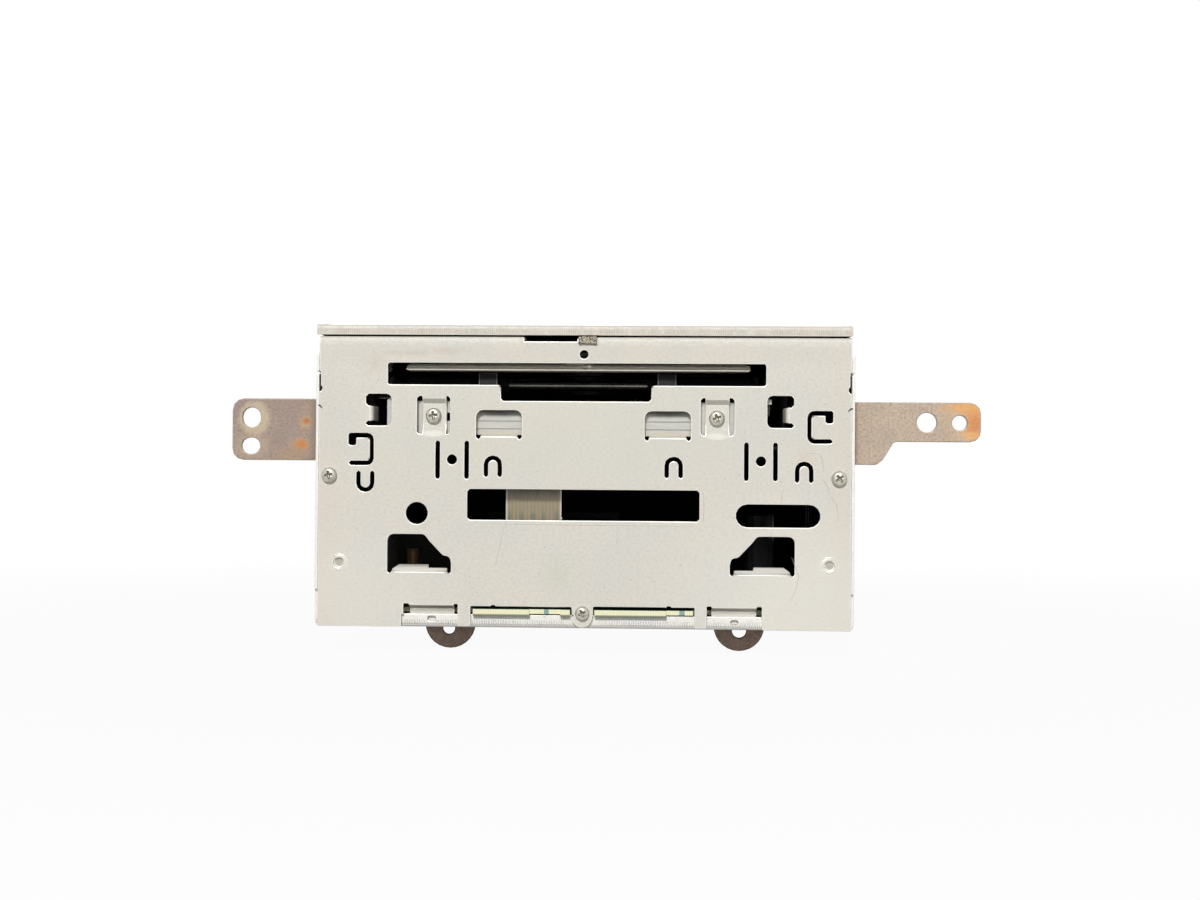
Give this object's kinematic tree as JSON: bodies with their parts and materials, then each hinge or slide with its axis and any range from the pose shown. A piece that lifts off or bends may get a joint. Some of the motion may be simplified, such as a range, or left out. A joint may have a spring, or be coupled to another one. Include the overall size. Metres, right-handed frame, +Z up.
{
  "type": "car radio",
  "caption": "Double-height car radio chassis with its fascia removed: pierced sheet-metal front, side brackets, bottom straps and a slot-loading disc mechanism inside",
  "frame": {"origin": "the middle of the underside of the bounding box, where the four strap ears stand", "axes": "+X to the right seen from the front, across both bracket ears; +Y from the front plate to the rear; +Z up"},
  "size_m": [0.253, 0.1784, 0.1094],
  "materials": {
    "plated_steel": "dull grey zinc plating, mottled",
    "inner_steel": "zinc-plated sheet",
    "bracket_steel": "yellowed plating with rust at the ends",
    "dark_steel": "dark brown plating",
    "sink_aluminium": "extruded",
    "zinc": "bright zinc",
    "polished_steel": "ground and polished",
    "motor_can": "drawn can",
    "black_plastic": "moulded",
    "grey_plastic": "moulded",
    "white_plastic": "moulded",
    "rubber": "matt",
    "woven_pad": "conductive weave over foam",
    "board": "glass-fibre laminate",
    "green_board": "glass-fibre laminate",
    "ribbon": "flat cable with fine conductors",
    "brown_sleeve": "shrink sleeve",
    "dark_sleeve": "shrink sleeve",
    "enamelled_copper": "enamelled wire",
    "lens": "coated"
  },
  "bodies": {
    "chassis": {"front_plate": "plated_steel", "chassis_tray": "plated_steel", "top_cover": "plated_steel", "rear_panel": "inner_steel", "heat_sink": "sink_aluminium", "harness_socket": "black_plastic", "aerial_socket": "zinc", "left_bracket": "bracket_steel", "right_bracket": "bracket_steel", "left_bottom_strap": "dark_steel", "right_bottom_strap": "dark_steel", "left_side_screw": "zinc", "right_side_screw": "zinc", "centre_screw": "zinc", "left_mechanism_screw": "zinc", "right_mechanism_screw": "zinc", "grounding_pad": "woven_pad", "main_board": "board", "tuner_can": "inner_steel", "shield_wall": "inner_steel", "filter_capacitor": "brown_sleeve", "reservoir_capacitor": "dark_sleeve", "choke_coil": "enamelled_copper", "power_amplifier": "black_plastic", "amplifier_clip": "inner_steel", "ribbon_socket": "white_plastic", "ribbon_cable": "ribbon", "mechanism_board": "green_board", "mechanism_frame": "inner_steel", "mechanism_lid": "inner_steel", "disc_guide": "white_plastic", "loading_motor": "motor_can", "deck_plate": "inner_steel", "front_left_damper": "rubber", "front_right_damper": "rubber", "rear_left_damper": "rubber", "rear_right_damper": "rubber", "spindle_motor": "motor_can", "guide_rod": "polished_steel", "sled_motor": "motor_can"},
    "slider": {"mode_slider": "inner_steel"},
    "arm": {"roller_arm": "inner_steel"},
    "feed_roller": {"feed_shaft": "polished_steel", "left_feed_sleeve": "rubber", "right_feed_sleeve": "rubber"},
    "gear": {"drive_gear": "white_plastic"},
    "pinion": {"loading_pinion": "white_plastic"},
    "clamp": {"clamp_arm": "inner_steel"},
    "puck": {"clamper": "black_plastic"},
    "spindle": {"turntable": "black_plastic"},
    "sled": {"pickup_sled": "black_plastic", "pickup_lens": "lens"},
    "screw": {"lead_screw": "polished_steel"},
    "sled_gear": {"sled_pinion": "white_plastic"},
    "left_lever": {"left_disc_lever": "grey_plastic"},
    "right_lever": {"right_disc_lever": "grey_plastic"}
  },
  "joints": [
    {"name": "mode_slide", "type": "slide", "parent": "chassis", "child": "slider", "axis": [0, 1, 0], "range_m": [0, 0.008]},
    {"name": "roller_arm_tilt", "type": "hinge", "parent": "chassis", "child": "arm", "pos_m": [-0.0093, -0.02675, 0.08605], "axis": [1, 0, 0], "range_deg": [0, 4.43]},
    {"name": "clamp_arm_tilt", "type": "hinge", "parent": "chassis", "child": "clamp", "pos_m": [-0.0093, 0.05925, 0.09705], "axis": [1, 0, 0], "range_deg": [0, 2.2]},
    {"name": "feed_roller_spin", "type": "hinge", "parent": "arm", "child": "feed_roller", "pos_m": [-0.00875, -0.07175, 0.09005], "axis": [1, 0, 0], "continuous": true},
    {"name": "drive_gear_spin", "type": "hinge", "parent": "chassis", "child": "gear", "pos_m": [-0.0755, -0.07175, 0.09865], "axis": [1, 0, 0], "continuous": true},
    {"name": "loading_pinion_spin", "type": "hinge", "parent": "chassis", "child": "pinion", "pos_m": [-0.0755, -0.06435, 0.09865], "axis": [1, 0, 0], "continuous": true},
    {"name": "turntable_spin", "type": "hinge", "parent": "chassis", "child": "spindle", "pos_m": [-0.00875, -0.00275, 0.0895], "axis": [0, 0, 1], "continuous": true},
    {"name": "clamper_spin", "type": "hinge", "parent": "clamp", "child": "puck", "pos_m": [-0.00875, -0.00275, 0.097], "axis": [0, 0, 1], "continuous": true},
    {"name": "pickup_slide", "type": "slide", "parent": "chassis", "child": "sled", "axis": [0, 1, 0], "range_m": [0, 0.033]},
    {"name": "lead_screw_spin", "type": "hinge", "parent": "chassis", "child": "screw", "pos_m": [0.00925, 0.034, 0.08405], "axis": [0, 1, 0], "continuous": true},
    {"name": "sled_pinion_spin", "type": "hinge", "parent": "chassis", "child": "sled_gear", "pos_m": [0.01725, 0.0075, 0.08405], "axis": [0, 1, 0], "continuous": true},
    {"name": "left_lever_press", "type": "hinge", "parent": "chassis", "child": "left_lever", "pos_m": [-0.03825, -0.05675, 0.08245], "axis": [1, 0, 0], "range_deg": [0, 8], "stiffness_Nm_per_rad": 0.01, "springref_deg": -5.73},
    {"name": "right_lever_press", "type": "hinge", "parent": "chassis", "child": "right_lever", "pos_m": [0.02075, -0.05675, 0.08245], "axis": [1, 0, 0], "range_deg": [0, 8], "stiffness_Nm_per_rad": 0.01, "springref_deg": -5.73}
  ],
  "couplings": [
    {"joint": "roller_arm_tilt", "follows": "mode_slide", "rad_per_m": 9.66},
    {"joint": "clamp_arm_tilt", "follows": "mode_slide", "rad_per_m": 4.79},
    {"joint": "drive_gear_spin", "follows": "feed_roller_spin", "ratio": -1},
    {"joint": "loading_pinion_spin", "follows": "feed_roller_spin", "ratio": 1.4},
    {"joint": "clamper_spin", "follows": "turntable_spin", "ratio": 1},
    {"joint": "lead_screw_spin", "follows": "pickup_slide", "rad_per_m": 2094.4},
    {"joint": "sled_pinion_spin", "follows": "pickup_slide", "rad_per_m": -3351}
  ]
}
